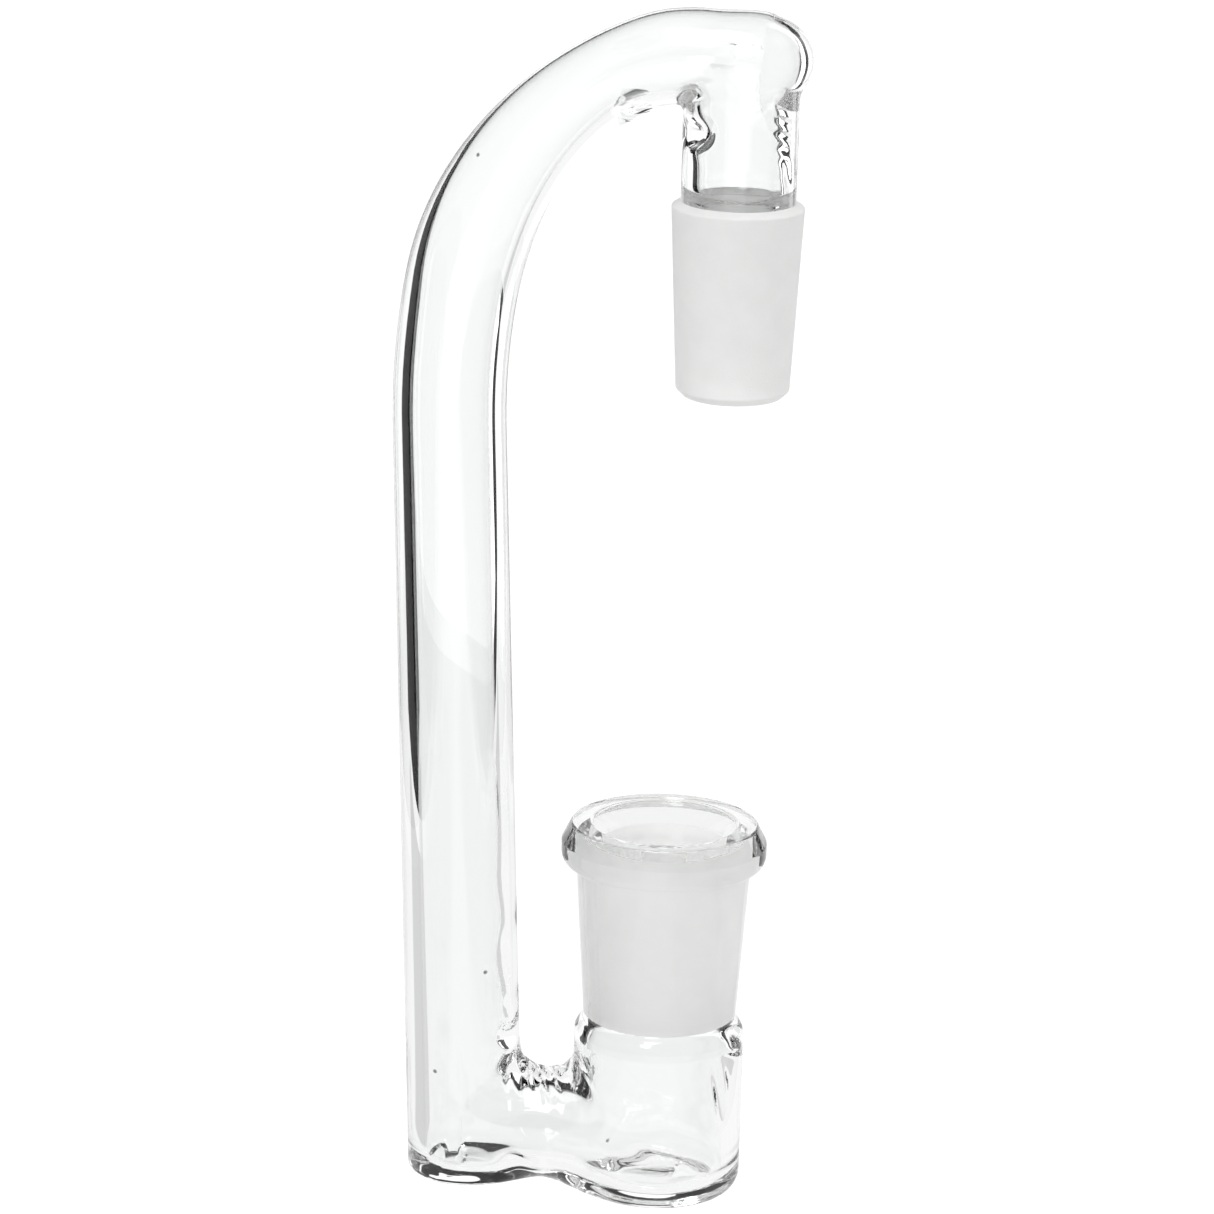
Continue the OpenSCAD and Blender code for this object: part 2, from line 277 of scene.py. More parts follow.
def crook_ring(s, n):
    """One ring of the crook's outer skin and one of its bore, at a distance s."""
    x, z, h = crook_path(s)
    up = np.array([-math.sin(h), 0, math.cos(h)])
    side = np.array([0, 1.0, 0])
    # bending flattens the tube, and draws it thin on the outside of the curve
    over = TUBE_R - OVER_DENT * eased(s, OVER_FLATTENS)
    over += (END_OVER - TUBE_R + OVER_DENT) * eased(s, OVER_RECOVERS)
    under = TUBE_R - UNDER_DENT * eased(s, UNDER_FLATTENS)
    under += (END_UNDER - TUBE_R + UNDER_DENT) * eased(s, UNDER_RECOVERS)
    wide = TUBE_R + (END_WIDE - TUBE_R) * (s / CROOK_LEN) ** 2
    thin = eased(s, WALL_THINS)
    wall_over, wall_under, wall_side = (WALL + (w - WALL) * thin for w in END_WALLS)
    a = np.arange(n) * 2 * math.pi / n
    c, sn = np.cos(a)[:, None], np.sin(a)[:, None]
    mid = np.array([x, 0, z])
    outer = mid + up * ((over - under) / 2 + (over + under) / 2 * c) + side * wide * sn
    over, under = over - wall_over, under - wall_under
    inner = mid + up * ((over - under) / 2 + (over + under) / 2 * c) + side * (wide - wall_side) * sn
    return outer, inner


# ---------------------------------------------------------------- head and neck

HEAD_MID = 131  # the neck's fields end here, inside the head
# Centre and radii of the blown end, outside and inside
BULB, BULB_BORE = (MALE_X + 2.0, 0, 131.2), (MALE_X + 1.7, 0, 131.1)
BULB_RADII, BULB_BORE_RADII = (5.9, 6.0, 4.9), (4.9, 5.1, 4.5)
# Fillets from the crook to the blown end, and from there to the neck
BULB_FILLET, NECK_FILLET = 2.2, 0.9
BULB_BORE_FILLET, NECK_BORE_FILLET = 2.4, 2.0
NECK_BORE_R = 4.45
WAIST_Z, WAIST = 122.6, 0.10  # slight waist of the bore where the neck was fused on
LIP_Z, LIP = 116.2, 0.7  # the bore narrows here, above the ground cone
HEAD_MARKS = (
    ((MALE_X - 4.4, -0.6, 123.2), (1.6, 2.2, 1.3), (0.3, 0.2, 0.8), 0.95),  # weld, left
    ((MALE_X - 5.0, 0.0, 125.6), (1.0, 1.6, 0.8), (1.6, 0.4, 1.2), 0.40),  # under the crook's end
    ((MALE_X + 4.5, -0.8, 123.0), (1.0, 1.4, 2.6), (1.3, 1.6, 4.2), 0.06),  # weld, right
    ((MALE_X + 4.3, -0.4, 118.6), (1.0, 1.2, 1.8), (2.6, 1.8, 0.7), 0.12),  # neck, right
)


def head_centre():
    """Centre of the crook's last bend, which the head carries on."""
    x, z, h = crook_path(CROOK_LEN)
    radius = BENDS[-1][0]
    return x + radius * math.sin(h), z - radius * math.cos(h)


def end_tube(p, over, under, wide):
    """The crook's end section carried on round its last bend, to the middle of the head."""
    x, z = head_centre()
    deep = (over + under) / 2
    tube = ring(p, x, z, BENDS[-1][0] + (over - under) / 2, deep, wide / deep)
    return np.maximum(tube, p[:, 0] - MALE_X - 2)


def head_outer(p):
    """Outside of the head, the weld and the neck."""
    tube = end_tube(p, END_OVER, END_UNDER, END_WIDE)
    blown = ellipsoid(p, BULB, BULB_RADII)
    neck = np.maximum(np.hypot(p[:, 0] - MALE_X, p[:, 1]) - NECK_R, p[:, 2] - HEAD_MID)
    return smooth_union(smooth_union(tube, blown, BULB_FILLET), neck, NECK_FILLET)


def head_inner(p):
    """Inside of the head, the weld and the neck."""
    over, under, beside = END_WALLS
    tube = end_tube(p, END_OVER - over, END_UNDER - under, END_WIDE - beside)
    blown = ellipsoid(p, BULB_BORE, BULB_BORE_RADII)
    h = p[:, 2]
    waist = WAIST * np.exp(-((h - WAIST_Z) / 2.0) ** 2)
    lip = LIP / (1 + np.exp((h - LIP_Z) / 0.22))
    neck = np.hypot(p[:, 0] - MALE_X, p[:, 1]) - (NECK_BORE_R - waist - lip)
    neck = np.maximum(neck, h - HEAD_MID)
    head = smooth_union(smooth_union(tube, blown, BULB_BORE_FILLET), neck, NECK_BORE_FILLET)
    return marked(head, p, HEAD_MARKS)


# ---------------------------------------------------------------- meshing a field

def surface_net(field, axes):
    """Points and quads over a field's zero surface on a grid, wound to face away from inside."""
    shape = tuple(len(a) for a in axes)
    grid = np.stack(np.meshgrid(*axes, indexing="ij"), -1).reshape(-1, 3)
    value = field(grid).reshape(shape)
    inside = value < 0

    def corner(array, c):
        return array[tuple(slice(c[k], shape[k] - 1 + c[k]) for k in range(3))]

    corners = [(i, j, k) for i in (0, 1) for j in (0, 1) for k in (0, 1)]
    count = sum(corner(inside, c).astype(int) for c in corners)
    mixed = (count > 0) & (count < 8)
    total, hits = np.zeros((*mixed.shape, 3)), np.zeros(mixed.shape)
    for c in corners:
        for k in range(3):
            if c[k]:
                continue
            a, b = corner(value, c), corner(value, tuple(c[m] + (m == k) for m in range(3)))
            crossed = mixed & ((a < 0) != (b < 0))
            t = np.where(crossed, a / np.where(crossed, a - b, 1), 0)
            for m in range(3):
                total[..., m] += np.where(crossed, c[m] + (t if m == k else 0), 0)
            hits += crossed
    cell = np.argwhere(mixed)
    spot = cell + total[mixed] / hits[mixed][:, None]
    points = np.stack([np.interp(spot[:, k], np.arange(shape[k]), axes[k]) for k in range(3)], 1)
    number = -np.ones(mixed.shape, int)
    number[mixed] = np.arange(len(cell))

    quads = []
    for k in range(3):
        m, n = (k + 1) % 3, (k + 2) % 3
        near = [slice(1, shape[q] - 1) for q in range(3)]
        far = list(near)
        near[k], far[k] = slice(0, shape[k] - 1), slice(1, shape[k])
        a, b = inside[tuple(near)], inside[tuple(far)]
        for forward in (True, False):
            at = np.argwhere(a & ~b if forward else ~a & b)
            at = at + np.array([0 if q == k else 1 for q in range(3)])
            ids = []
            for dm, dn in ((0, 0), (1, 0), (1, 1), (0, 1)):
                c = at.copy()
                c[:, m] -= 1 - dm
                c[:, n] -= 1 - dn
                ids.append(number[c[:, 0], c[:, 1], c[:, 2]])
            quad = np.stack(ids, 1)
            quads.append(quad if forward else quad[:, ::-1])
    for _ in range(3):
        g = gradient(field, points)
        points = points - g * (field(points) / np.maximum((g * g).sum(1), 1e-9))[:, None]
    return points, np.concatenate(quads)


def wall_mesh(outer, inner, axes):
    """Glass wall between two fields, its skins marked on the faces."""
    bm = bmesh.new()
    skin = bm.faces.layers.int.new("skin")
    for field, mark in ((outer, OUTER), (inner, INNER)):
        points, quads = surface_net(field, axes)
        made = [bm.verts.new(q) for q in points]
        for quad in quads if mark == OUTER else quads[:, ::-1]:
            face = bm.faces.new([made[i] for i in quad])
            face[skin] = mark
    bm.normal_update()
    return bm


def cut(bm, point, outward):
    """Cuts a wall by a plane, keeps the side that outward points away from, and closes the cut."""
    skin = bm.faces.layers.int["skin"]
    done = bmesh.ops.bisect_plane(
        bm, geom=bm.verts[:] + bm.edges[:] + bm.faces[:], dist=1e-5,
        plane_co=point, plane_no=outward, clear_outer=True)
    edges = [e for e in done["geom_cut"] if isinstance(e, bmesh.types.BMEdge) and e.is_boundary]
    if not edges:
        return
    filled = bmesh.ops.triangle_fill(bm, edges=edges, use_beauty=True)
    for face in filled["geom"]:
        if isinstance(face, bmesh.types.BMFace):
            face.normal_update()
            if face.normal.dot(Vector(outward)) < 0:
                face.normal_flip()
            face[skin] = SEAM


class Shell:
    """Closed piece of glass: its points, faces, and each face's slot and corner normals."""

    def __init__(self):
        self.points, self.faces, self.slots, self.normals = [], [], [], []

    def add_ring(self, ring_points):
        start = len(self.points)
        self.points.extend(ring_points.tolist())
        return list(range(start, len(self.points)))

    def add_face(self, ids, slot, normals):
        self.faces.append(ids)
        self.slots.append(slot)
        self.normals.extend(normals)

    def join_rings(self, a, b, na, nb, slot):
        """Quads from ring a to ring b, which lies on the left of the direction around."""
        n = len(a)
        for k in range(n):
            j = (k + 1) % n
            self.add_face([a[k], a[j], b[j], b[k]], slot, [na[k], na[j], nb[j], nb[k]])

    def to_object(self, name, node, slot):
        mesh = bpy.data.meshes.new(name)
        mesh.from_pydata((np.array(self.points) * MM).tolist(), [], self.faces)
        for m in MATERIALS:
            mesh.materials.append(m)
        mesh.polygons.foreach_set("material_index", self.slots)
        mesh.polygons.foreach_set("use_smooth", [True] * len(self.faces))
        mesh.normals_split_custom_set([tuple(n) for n in self.normals])
        made = bpy.data.objects.new(name, mesh)
        bpy.context.scene.collection.objects.link(made)
        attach(made, "root")
        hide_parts(node)
        return made


def all_clear(centre, mark):
    """Slot of a face on a piece that is clear all over."""
    return CLEAR


def from_wall(bm, outer, inner, slot_of=all_clear):
    """Shell of a cut wall, with corner normals from the fields."""
    shell = Shell()
    skin = bm.faces.layers.int["skin"]
    bm.verts.index_update()
    points = np.array([v.co[:] for v in bm.verts])
    shell.points = points.tolist()
    unit = {}
    for mark, field, sign in ((OUTER, outer, 1), (INNER, inner, -1)):
        g = gradient(field, points) * sign
        unit[mark] = (g / np.maximum(np.linalg.norm(g, axis=1), 1e-9)[:, None]).tolist()
    for face in bm.faces:
        ids, mark = [v.index for v in face.verts], face[skin]
        if mark == SEAM:
            shell.add_face(ids, FUSED, [tuple(face.normal)] * len(ids))
        else:
            slot = slot_of(face.calc_center_median(), mark)
            shell.add_face(ids, slot, [unit[mark][i] for i in ids])
    return shell


# ---------------------------------------------------------------- turned and swept pieces

AROUND = 144  # sides of a turned or swept piece


def rounded(corners, per_arc=7):
    """(r, z) points and normals along a line of corners (r, z, radius), rounded by each radius.

    The normals point to the right of the direction of travel."""
    spots, out = [], []
    for i, (r, z, radius) in enumerate(corners):
        here = np.array([r, z], float)
        d0 = here - corners[i - 1][:2] if i else np.array(corners[1][:2]) - here
        d1 = np.array(corners[i + 1][:2]) - here if i < len(corners) - 1 else d0
        d0, d1 = d0 / np.linalg.norm(d0), d1 / np.linalg.norm(d1)
        turn = math.atan2(d0[0] * d1[1] - d0[1] * d1[0], d0 @ d1)
        if abs(turn) < 1e-6:
            spots.append(here)
            out.append([d0[1], -d0[0]])
            continue
        side = math.copysign(1, turn)
        first = here - d0 * radius * math.tan(abs(turn) / 2)
        centre = first + radius * side * np.array([-d0[1], d0[0]])
        for k in range(per_arc + 1):
            c, s = math.cos(turn * k / per_arc), math.sin(turn * k / per_arc)
            d = np.array([d0[0] * c - d0[1] * s, d0[0] * s + d0[1] * c])
            spots.append(centre - radius * side * np.array([-d[1], d[0]]))
            out.append([d[1], -d[0]])
    return spots, out


def turned(axis_x, runs):
    """Shell turned about an upright axis from a closed profile: runs of (slot, corners)."""
    shell = Shell()
    a = np.arange(AROUND) * 2 * math.pi / AROUND
    c, s = np.cos(a), np.sin(a)
    first = last = None
    for i, (slot, corners) in enumerate(runs):
        spots, out = rounded(corners)
        before = None
        for j, ((r, z), (nr, nz)) in enumerate(zip(spots, out)):
            normal = np.stack([nr * c, nr * s, np.full(AROUND, nz)], 1).tolist()
            if j == 0 and last:
                ids = last
            elif i == len(runs) - 1 and j == len(spots) - 1:
                ids = first
            else:
                ids = shell.add_ring(np.stack([axis_x + r * c, r * s, np.full(AROUND, z)], 1))
            first = first or ids
            if before:
                shell.join_rings(before[0], ids, before[1], normal, slot)
            before = (ids, normal)
        last = before[0]
    return shell


def ring_normals(rings, sign):
    """Smooth normals of a stack of rings, pointing away from their middle, or to it."""
    n = np.cross(np.roll(rings, -1, 1) - np.roll(rings, 1, 1), np.gradient(rings, axis=0))
    n /= np.linalg.norm(n, axis=2)[..., None]
    away = rings - rings.mean(1, keepdims=True)
    return n * np.sign((away * n).sum()) * sign


def crook_shell(rows=110):
    """Bent tube from the riser's end to the head."""
    both = [crook_ring(s, AROUND) for s in np.linspace(0, CROOK_LEN, rows)]
    outer, inner = np.array([q[0] for q in both]), np.array([q[1] for q in both])
    out_n, in_n = ring_normals(outer, 1), ring_normals(inner, -1)
    shell = Shell()
    a = [shell.add_ring(q) for q in outer]
    b = [shell.add_ring(q) for q in inner]
    for i in range(rows - 1):
        shell.join_rings(a[i + 1], a[i], out_n[i + 1], out_n[i], CLEAR)
        shell.join_rings(b[i], b[i + 1], in_n[i], in_n[i + 1], CLEAR)
    for i, to in ((0, -1), (rows - 1, 1)):
        _, _, h = crook_path(CROOK_LEN if i else 0)
        flat = [(math.cos(h) * to, 0, math.sin(h) * to)] * AROUND
        ends = (a[i], b[i]) if to < 0 else (b[i], a[i])
        shell.join_rings(*ends, flat, flat, FUSED)
    return shell


# ---------------------------------------------------------------- materials

def node_tools(tree):
    """Empties a node tree, and gives helpers that add a node to it and join two sockets."""
    tree.nodes.clear()

    def add(kind, **values):
        node = tree.nodes.new(kind)
        for key, value in values.items():
            if key in node.inputs:
                node.inputs[key].default_value = value
            else:
                setattr(node, key, value)
        return node

    def join(a, out, b, into):
        tree.links.new(a.outputs[out], b.inputs[into])

    return add, join


def new_material(name):
    """Empty node material, with the helpers for its tree."""
    material = bpy.data.materials.new(name)
    material.use_nodes = True
    return material, *node_tools(material.node_tree)


GLASS_IOR = 1.47  # borosilicate glass


def make_clear_glass():
    """Borosilicate glass with a trace of tint, drawn striations, and a few tiny near-black specks
    painted into its colour for tiny bubbles: painted shade.
    """
    material, add, join = new_material("clear glass")
    out = add("ShaderNodeOutputMaterial")
    place = add("ShaderNodeTexCoord")
    glass = add("ShaderNodeBsdfPrincipled", IOR=GLASS_IOR, Roughness=0.0)
    glass.inputs["Transmission Weight"].default_value = 1.0
    cloud = add("ShaderNodeTexNoise", Scale=60.0, Detail=3.0)
    tint = add("ShaderNodeValToRGB")
    tint.color_ramp.elements[0].color = (0.972, 0.982, 0.978, 1)
    tint.color_ramp.elements[1].color = (0.992, 0.996, 0.994, 1)
    # near-black specks multiplied into the glass's colour: painted shade standing for tiny bubbles in
    # the glass
    seed_shade_spots = add("ShaderNodeTexVoronoi", Scale=95.0)
    painted_seed_shade = add("ShaderNodeValToRGB")
    painted_seed_shade.color_ramp.elements[0].position = 0.018
    painted_seed_shade.color_ramp.elements[0].color = (0.05, 0.05, 0.05, 1)
    painted_seed_shade.color_ramp.elements[1].position = 0.028
    mix = add("ShaderNodeMix", data_type="RGBA", blend_type="MULTIPLY")
    mix.inputs["Factor"].default_value = 1.0
    stretch = add("ShaderNodeMapping", Scale=(1400.0, 1400.0, 18.0))
    draw = add("ShaderNodeTexNoise", Scale=1.0, Detail=2.0)
    bump = add("ShaderNodeBump", Strength=0.012, Distance=0.0002)
    join(place, "Object", cloud, "Vector")
    join(place, "Object", seed_shade_spots, "Vector")
    join(place, "Object", stretch, "Vector")
    join(stretch, "Vector", draw, "Vector")
    join(cloud, "Fac", tint, "Fac")
    join(seed_shade_spots, "Distance", painted_seed_shade, "Fac")
    join(tint, "Color", mix, 6)
    join(painted_seed_shade, "Color", mix, 7)
    join(mix, 2, glass, "Base Color")
    join(draw, "Fac", bump, "Height")
    join(bump, "Normal", glass, "Normal")
    join(glass, "BSDF", out, "Surface")
    return material


def make_ground_glass(name, pale):
    """Surface ground with fine abrasive: a pale matt skin with grain and faint turning lines."""
    material, add, join = new_material(name)
    out = add("ShaderNodeOutputMaterial")
    place = add("ShaderNodeTexCoord")
    glass = add("ShaderNodeBsdfPrincipled", IOR=GLASS_IOR)
    glass.inputs["Transmission Weight"].default_value = 1.0
    grain = add("ShaderNodeTexNoise", Scale=5200.0, Detail=4.0, Roughness=0.6)
    patches = add("ShaderNodeTexNoise", Scale=420.0, Detail=3.0)
    rings = add("ShaderNodeMapping", Scale=(60.0, 60.0, 4200.0))
    lines = add("ShaderNodeTexNoise", Scale=1.0, Detail=2.0)
    height = add("ShaderNodeMath", operation="MULTIPLY_ADD")
    height.inputs[1].default_value = 0.35
    bump = add("ShaderNodeBump", Strength=0.35, Distance=0.00006)
    tone = add("ShaderNodeValToRGB")
    tone.color_ramp.elements[0].position = 0.3
    # pale scales the whole tone: below 1 it paints shade into the ground glass
    tone.color_ramp.elements[0].color = (pale * 0.97, pale * 0.97, pale * 0.965, 1)
    tone.color_ramp.elements[1].position = 0.7
    tone.color_ramp.elements[1].color = (pale, pale, pale * 0.995, 1)
    rough = add("ShaderNodeMapRange")
    rough.inputs["To Min"].default_value = 0.50
    rough.inputs["To Max"].default_value = 0.62
    through = add("ShaderNodeBsdfTranslucent")
    matt = add("ShaderNodeBsdfDiffuse")
    body = add("ShaderNodeMixShader", Fac=0.7)
    blend = add("ShaderNodeMixShader", Fac=0.86)
    for texture in (grain, patches, rings):
        join(place, "Object", texture, "Vector")
    join(rings, "Vector", lines, "Vector")
    join(lines, "Fac", height, 0)
    join(grain, "Fac", height, 2)
    join(height, "Value", bump, "Height")
    join(patches, "Fac", tone, "Fac")
    join(patches, "Fac", rough, "Value")
    for shader, color in ((glass, "Base Color"), (through, "Color"), (matt, "Color")):
        join(tone, "Color", shader, color)
        join(bump, "Normal", shader, "Normal")
    join(rough, "Result", glass, "Roughness")
    join(through, "BSDF", body, 1)
    join(matt, "BSDF", body, 2)
    join(glass, "BSDF", blend, 1)
    join(body, "Shader", blend, 2)
    join(blend, "Shader", out, "Surface")
    return material


def make_fused_seam():
    """Face where two stretches of glass are one: light passes straight through."""
    material, add, join = new_material("fused seam")
    out = add("ShaderNodeOutputMaterial")
    clear = add("ShaderNodeBsdfTransparent")
    join(clear, "BSDF", out, "Surface")
    return material


# The cone's ground glass is a copy toned down to 0.84, against 1.0 for the bore's: painted shade on
# the cone, which is the same ground glass as the bore.
MATERIALS = (make_clear_glass(), make_ground_glass("ground cone", 0.84), make_fused_seam(),
             make_ground_glass("ground bore", 1.0))


# ---------------------------------------------------------------- pieces

STEP = 0.36  # grid spacing of the worked glass


def spaced(low, high, step=STEP):
    """Evenly spaced grid places from low to past high."""
    return np.arange(low, high + step, step)


def build_low_body():
    """Foot, riser, bridge, cup and shoulder, cut from one wall."""
    fine = spaced(-1, 30)
    tall = np.concatenate([fine, np.linspace(fine[-1] + 1, RISER_LEN + 3, 30)])
    axes = (spaced(-33, 11), spaced(-10.6, 10.6), tall)
    whole = wall_mesh(low_outer, low_inner, axes)
    along = (-math.sin(LEAN), 0, math.cos(LEAN))
    end = (RISER_X - RISER_LEN * math.sin(LEAN), 0, RISER_LEN * math.cos(LEAN))
    left, right, down, up = (-1, 0, 0), (1, 0, 0), (0, 0, -1), (0, 0, 1)

    def ground_above(centre, mark):
        return BORE if mark == INNER and centre.z > SOCKET_Z - 0.2 else CLEAR

    at_riser, at_weld, at_cup = (WELD_X0, 0, 0), (WELD_X1, 0, 0), (BRIDGE_X1, 0, 0)
    over_foot, over_base, over_cup = (0, 0, FOOT_TOP), (0, 0, CUP_BASE), (0, 0, CUP_TOP)
    for name, node, planes, slot_of in (
        ("foot_glass", "riser_foot", ((at_riser, right), (over_foot, up)), all_clear),
        ("riser_glass", "riser_tube", ((at_riser, right), (over_foot, down), (end, along)), all_clear),
        ("bridge_weld_glass", "bridge_weld", ((at_riser, left), (at_weld, right)), all_clear),
        ("bridge_glass", "bridge_tube", ((at_weld, left), (at_cup, right)), all_clear),
        ("cup_base_glass", "cup_base", ((at_cup, left), (over_base, up)), all_clear),
        ("cup_glass", "cup_body", ((at_cup, left), (over_base, down), (over_cup, up)), all_clear),
        ("shoulder_glass", "cup_shoulder",
         ((at_cup, left), (over_cup, down), ((0, 0, SEAM_Z), up)), ground_above),
    ):
        piece = whole.copy()
        for point, outward in planes:
            cut(piece, point, outward)
        from_wall(piece, low_outer, low_inner, slot_of).to_object(name, node, "clear_glass")
        piece.free()
    whole.free()


def build_head():
    """Head, weld and neck, cut from one wall."""
    axes = (spaced(-7, 15), spaced(-7.4, 7.4), spaced(CONE_TOP - 2, 138.5))
    whole = wall_mesh(head_outer, head_inner, axes)
    x, z, h = crook_path(CROOK_LEN)
    back = (-math.cos(h), 0, -math.sin(h))
    down, up = (0, 0, -1), (0, 0, 1)
    for name, node, planes in (
        ("head_glass", "crook_head", (((x, 0, z), back), ((0, 0, WELD_TOP), down))),
        ("neck_weld_glass", "neck_weld", (((0, 0, WELD_TOP), up), ((0, 0, NECK_TOP), down))),
        ("neck_glass", "male_neck", (((0, 0, NECK_TOP), up), ((0, 0, CONE_TOP), down))),
    ):
        piece = whole.copy()
        for point, outward in planes:
            cut(piece, point, outward)
        from_wall(piece, head_outer, head_inner).to_object(name, node, "clear_glass")
        piece.free()
    whole.free()


def build_male_cone():
    """Ground male cone: bevelled at its shoulder, chamfered at its open lower end."""
    low_r = CONE_R - 1.06  # 1 in 10 over the ground length
    bevel, chamfer = 0.6, 0.8
    neck_bore, bore_r, bore_end = NECK_BORE_R - LIP + 0.01, 4.6, CONE_LOW + 0.4
    bore = [(neck_bore, CONE_TOP, 0), (neck_bore + 0.14, CONE_TOP - 1.0, 0.6),
            (bore_r - 0.1, CONE_TOP - 2.6, 1.5), (bore_r, bore_end, 0)]
    skin = [(bore_r, bore_end, 0), (bore_r + 0.15, CONE_LOW, 0.25), (low_r - chamfer, CONE_LOW, 0.3),
            (low_r + 0.04, CONE_LOW + chamfer, 0.5), (CONE_R, CONE_TOP - bevel, 0.3),
            (NECK_R, CONE_TOP, 0)]
    seam = [(NECK_R, CONE_TOP, 0), (neck_bore, CONE_TOP, 0)]
    shell = turned(MALE_X, ((CLEAR, bore), (GROUND, skin), (FUSED, seam)))
    shell.to_object("male_cone_glass", "male_cone", "ground_glass")


def build_socket_cone():
    """Female socket: clear outside, ground inside."""
    low_r = SOCKET_LOW_R + (SEAM_Z - SOCKET_Z) * SOCKET_SLOPE
    bore_low, bore_high = ground_bore_r(SEAM_Z), ground_bore_r(COLLAR_Z)
    shell = turned(0, (
        (BORE, [(bore_high, COLLAR_Z, 0), (bore_low, SEAM_Z, 0)]),
        (FUSED, [(bore_low, SEAM_Z, 0), (low_r, SEAM_Z, 0)]),
        (CLEAR, [(low_r, SEAM_Z, 0), (SOCKET_HIGH_R, COLLAR_Z, 0)]),
        (FUSED, [(SOCKET_HIGH_R, COLLAR_Z, 0), (bore_high, COLLAR_Z, 0)])))
    shell.to_object("socket_glass", "socket_cone", "ground_glass")


def build_collar():
    """Thick rounded collar at the mouth, with a bevelled rim and a flared, fire-polished lip."""
    bore_low, bore_high = ground_bore_r(COLLAR_Z), ground_bore_r(MOUTH_Z)
    bevel_wide, bevel_high, lip_r = 1.1, 2.1, 8.15
    bead = [(SOCKET_HIGH_R, COLLAR_Z, 0), (COLLAR_R, COLLAR_Z, 1.7),
            (COLLAR_R, RIM_Z - bevel_high, 0.6), (COLLAR_R - bevel_wide, RIM_Z, 0.35),
            (lip_r, RIM_Z, 0.4), (bore_high, MOUTH_Z, 0)]
    shell = turned(0, (
        (CLEAR, bead),
        (BORE, [(bore_high, MOUTH_Z, 0), (bore_low, COLLAR_Z, 0)]),
        (FUSED, [(bore_low, COLLAR_Z, 0), (SOCKET_HIGH_R, COLLAR_Z, 0)])))
    shell.to_object("collar_glass", "socket_collar", "clear_glass")


build_low_body()
crook_shell().to_object("crook_glass", "crook_bend", "clear_glass")
build_head()
build_male_cone()
build_socket_cone()
build_collar()


# ---------------------------------------------------------------- camera, light table and cards

AIM = Vector((-0.0072364, 0, 0.0684117))  # the camera's axis crosses the plane of the tubes here
DISTANCE = 0.6257517


def make_camera():
    """Long lens, a little above the object and to its right."""
    turn, tip, roll = math.radians(9), math.radians(16), math.radians(1.5)
    forward = Vector((-math.sin(turn) * math.cos(tip), math.cos(turn) * math.cos(tip), -math.sin(tip)))
    right = Vector((math.cos(turn), math.sin(turn), 0))
    above = right.cross(forward)
    x = right * math.cos(roll) + above * math.sin(roll)
    y = above * math.cos(roll) - right * math.sin(roll)
    matrix = Matrix((x, y, -forward)).transposed().to_4x4()
    matrix.translation = AIM - forward * DISTANCE
    data = bpy.data.cameras.new("camera")
    data.sensor_width = 36
    data.lens = 166
    data.clip_start = 0.01
    camera = bpy.data.objects.new("camera", data)
    bpy.context.scene.collection.objects.link(camera)
    camera.matrix_world = matrix
    bpy.context.scene.camera = camera
    return camera


WHITE = 1.12  # light table and backdrop: just past white in the picture
FILL = 1.25  # light that reaches matt surfaces from all round


def glow(name, strength, fill=None):
    """Plain light-giving material. It gives matt surfaces the strength fill, if that is set."""
    material, add, join = new_material(name)
    out = add("ShaderNodeOutputMaterial")
    light = add("ShaderNodeEmission", Strength=strength)
    join(light, "Emission", out, "Surface")
    if fill is not None:
        path = add("ShaderNodeLightPath")
        level = add("ShaderNodeMapRange", clamp=True)
        level.inputs["To Min"].default_value = strength
        level.inputs["To Max"].default_value = fill
        join(path, "Diffuse Depth", level, "Value")
        join(level, "Result", light, "Strength")
    return material


def card(name, corners, material, camera=None, seen=False):
    """Flat card of the studio. One given the camera rides on it, and so keeps its place."""
    mesh = bpy.data.meshes.new(name)
    mesh.from_pydata(corners, [], [tuple(range(len(corners)))])
    mesh.materials.append(material)
    made = bpy.data.objects.new(name, mesh)
    bpy.context.scene.collection.objects.link(made)
    made.visible_camera = seen
    if camera:
        bpy.context.view_layer.update()
        made.parent = camera
        made.matrix_parent_inverse = camera.matrix_world.inverted()
    return made


def upright(from_xy, to_xy, low, high):
    """Corners of an upright card."""
    (x0, y0), (x1, y1) = from_xy, to_xy
    return [(x0, y0, low), (x1, y1, low), (x1, y1, high), (x0, y0, high)]


def flat(from_xy, to_xy, z):
    """Corners of a level card."""
    (x0, y0), (x1, y1) = from_xy, to_xy
    return [(x0, y0, z), (x1, y0, z), (x1, y1, z), (x0, y1, z)]


SIDE_X = 0.12  # the black cards stand this far to each side of the cup
LEFT_FAR, RIGHT_FAR = 0.106, 0.24  # and end this far behind it


def build_table(camera):
    """Light table under the object. What glass sees of it is dimmer nearby and on the mats."""
    table = card("floor", flat((-4, -4), (4, 4), -0.0004), glow("light table", WHITE, FILL), seen=True)
    table.visible_transmission = False
    for name, near, far, strength in (
        ("table_near", -4, 0.20, 0.96),
        ("table_join", 0.20, 0.22, 1.03),
        ("table_far", 0.22, 4, WHITE),
    ):
        card(name, flat((-4, near), (4, far), -0.0003), glow(name, strength, FILL))
    grey = glow("grey mat", 0.66, FILL)
    edge = SIDE_X + 0.01
    left = ((-edge, -0.2), (-0.035, -0.2), (-0.035, 0.012), (-SIDE_X, LEFT_FAR), (-edge, LEFT_FAR))
    right = ((edge, -0.2), (0.03, -0.2), (0.03, 0.06), (SIDE_X, 0.17), (edge, 0.17))
    for name, mat in (("mat_left", left), ("mat_right", right)):
        card(name, [(x, y, -0.0002) for x, y in mat], grey, camera)


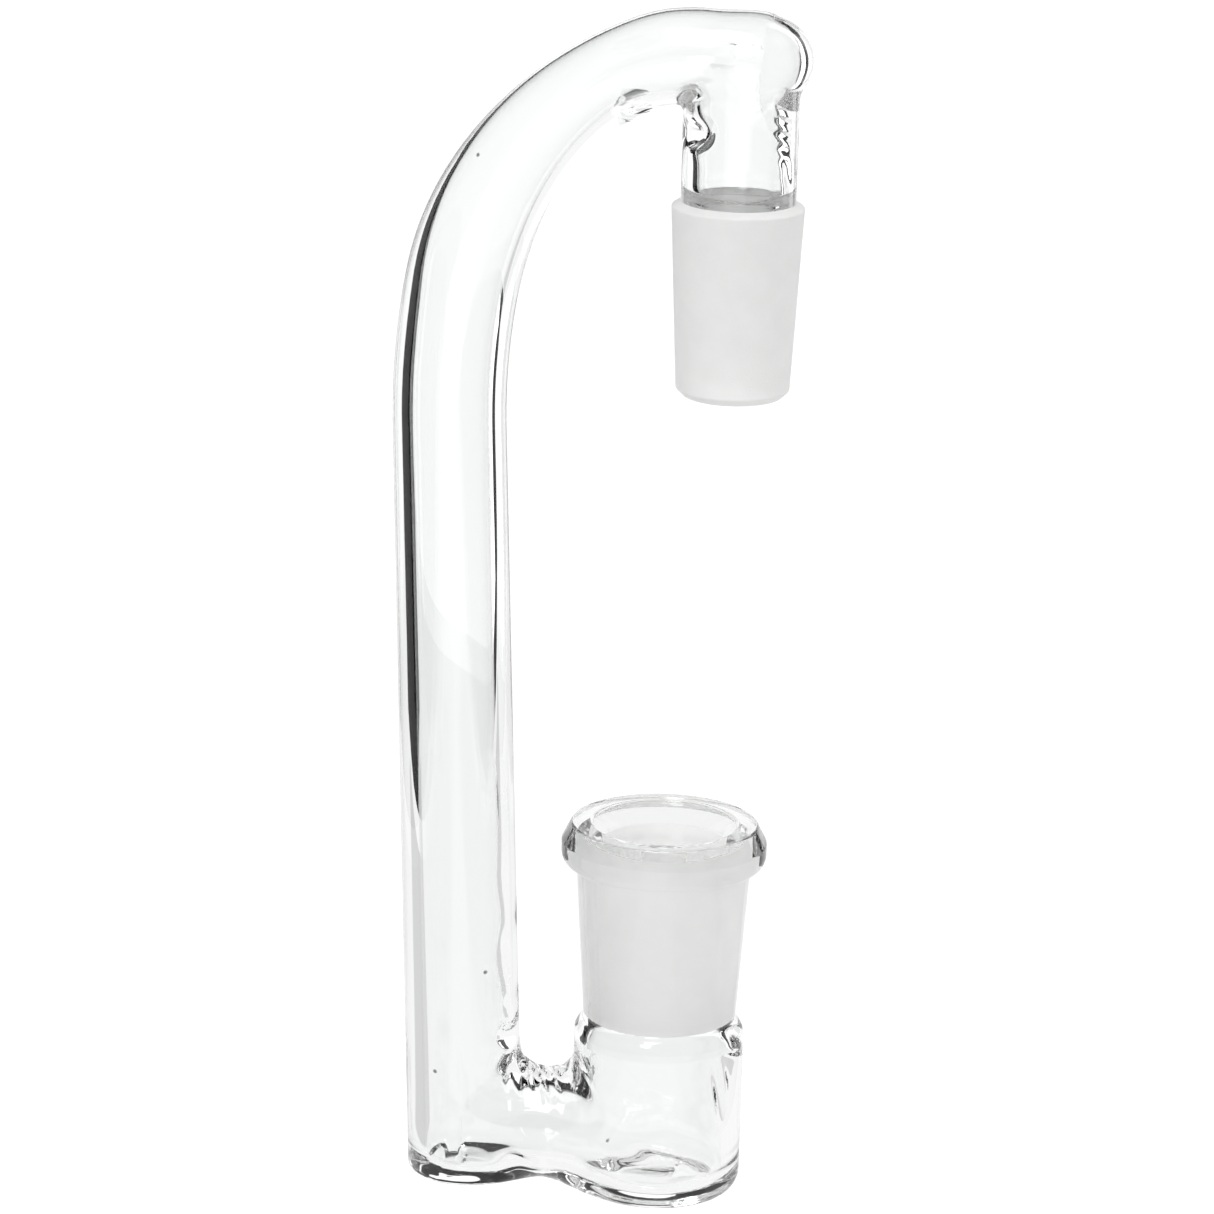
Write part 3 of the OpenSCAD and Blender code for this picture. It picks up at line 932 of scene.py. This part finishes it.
def build_side_cards(camera):
    """Black cards beside the view, which draw the dark lines in the glass, and a bright strip."""
    black, soft = glow("black card", 0.004, FILL), glow("soft box", 1.6)
    for name, x, far in (("black_left", -SIDE_X, LEFT_FAR), ("black_right", SIDE_X, RIGHT_FAR)):
        card(name, upright((x, -0.30), (x, far), 0.009, 0.5), black, camera)
    x = SIDE_X - 0.001
    card("strip_right", upright((x, 0.085), (x, 0.150), 0.02, 0.3), soft, camera)


def build_backdrop(camera):
    """White backdrop, square to the camera, with its upper left corner cut off."""
    right, above, back = (camera.matrix_world.col[k].to_3d() for k in range(3))
    middle = Vector((-0.008, 0, 0.067)) - back
    outline = ((-0.62, -0.4), (0.62, -0.4), (0.62, 0.75), (-0.15, 0.75), (-0.62, 0.27))
    corners = [middle + right * x + above * y for x, y in outline]
    card("backdrop", corners, glow("backdrop", WHITE, FILL), camera, seen=True)


def build_world():
    """Surroundings: white to the camera and to matt surfaces, nearly black to clear glass."""
    world = bpy.data.worlds.new("studio")
    world.use_nodes = True
    add, join = node_tools(world.node_tree)
    out = add("ShaderNodeOutputWorld")
    light = add("ShaderNodeBackground", Color=(1, 1, 1, 1), Strength=FILL)
    dark = add("ShaderNodeBackground", Color=(1, 1, 1, 1), Strength=0.02)
    path = add("ShaderNodeLightPath")
    either = add("ShaderNodeMath", operation="MAXIMUM", use_clamp=True)
    mix = add("ShaderNodeMixShader")
    join(path, "Is Camera Ray", either, 0)
    join(path, "Diffuse Depth", either, 1)
    join(either, "Value", mix, "Fac")
    join(dark, "Background", mix, 1)
    join(light, "Background", mix, 2)
    join(mix, "Shader", out, "Surface")
    bpy.context.scene.world = world


def build_key_light():
    """Soft box above the object, to its left."""
    key = bpy.data.lights.new("key", "AREA")
    key.size = 0.8
    key.energy = 12
    lamp = bpy.data.objects.new("key", key)
    bpy.context.scene.collection.objects.link(lamp)
    lamp.location = (-0.3, -0.5, 1.2)
    lamp.rotation_euler = (lamp.location - Vector((0, 0, 0.07))).to_track_quat("Z", "Y").to_euler()


main_camera = make_camera()
build_table(main_camera)
build_side_cards(main_camera)
build_backdrop(main_camera)
build_world()
build_key_light()

scene = bpy.context.scene
scene.view_settings.view_transform = "Standard"
scene.cycles.max_bounces = 40
scene.cycles.transmission_bounces = 40
scene.cycles.glossy_bounces = 16
scene.cycles.transparent_max_bounces = 64
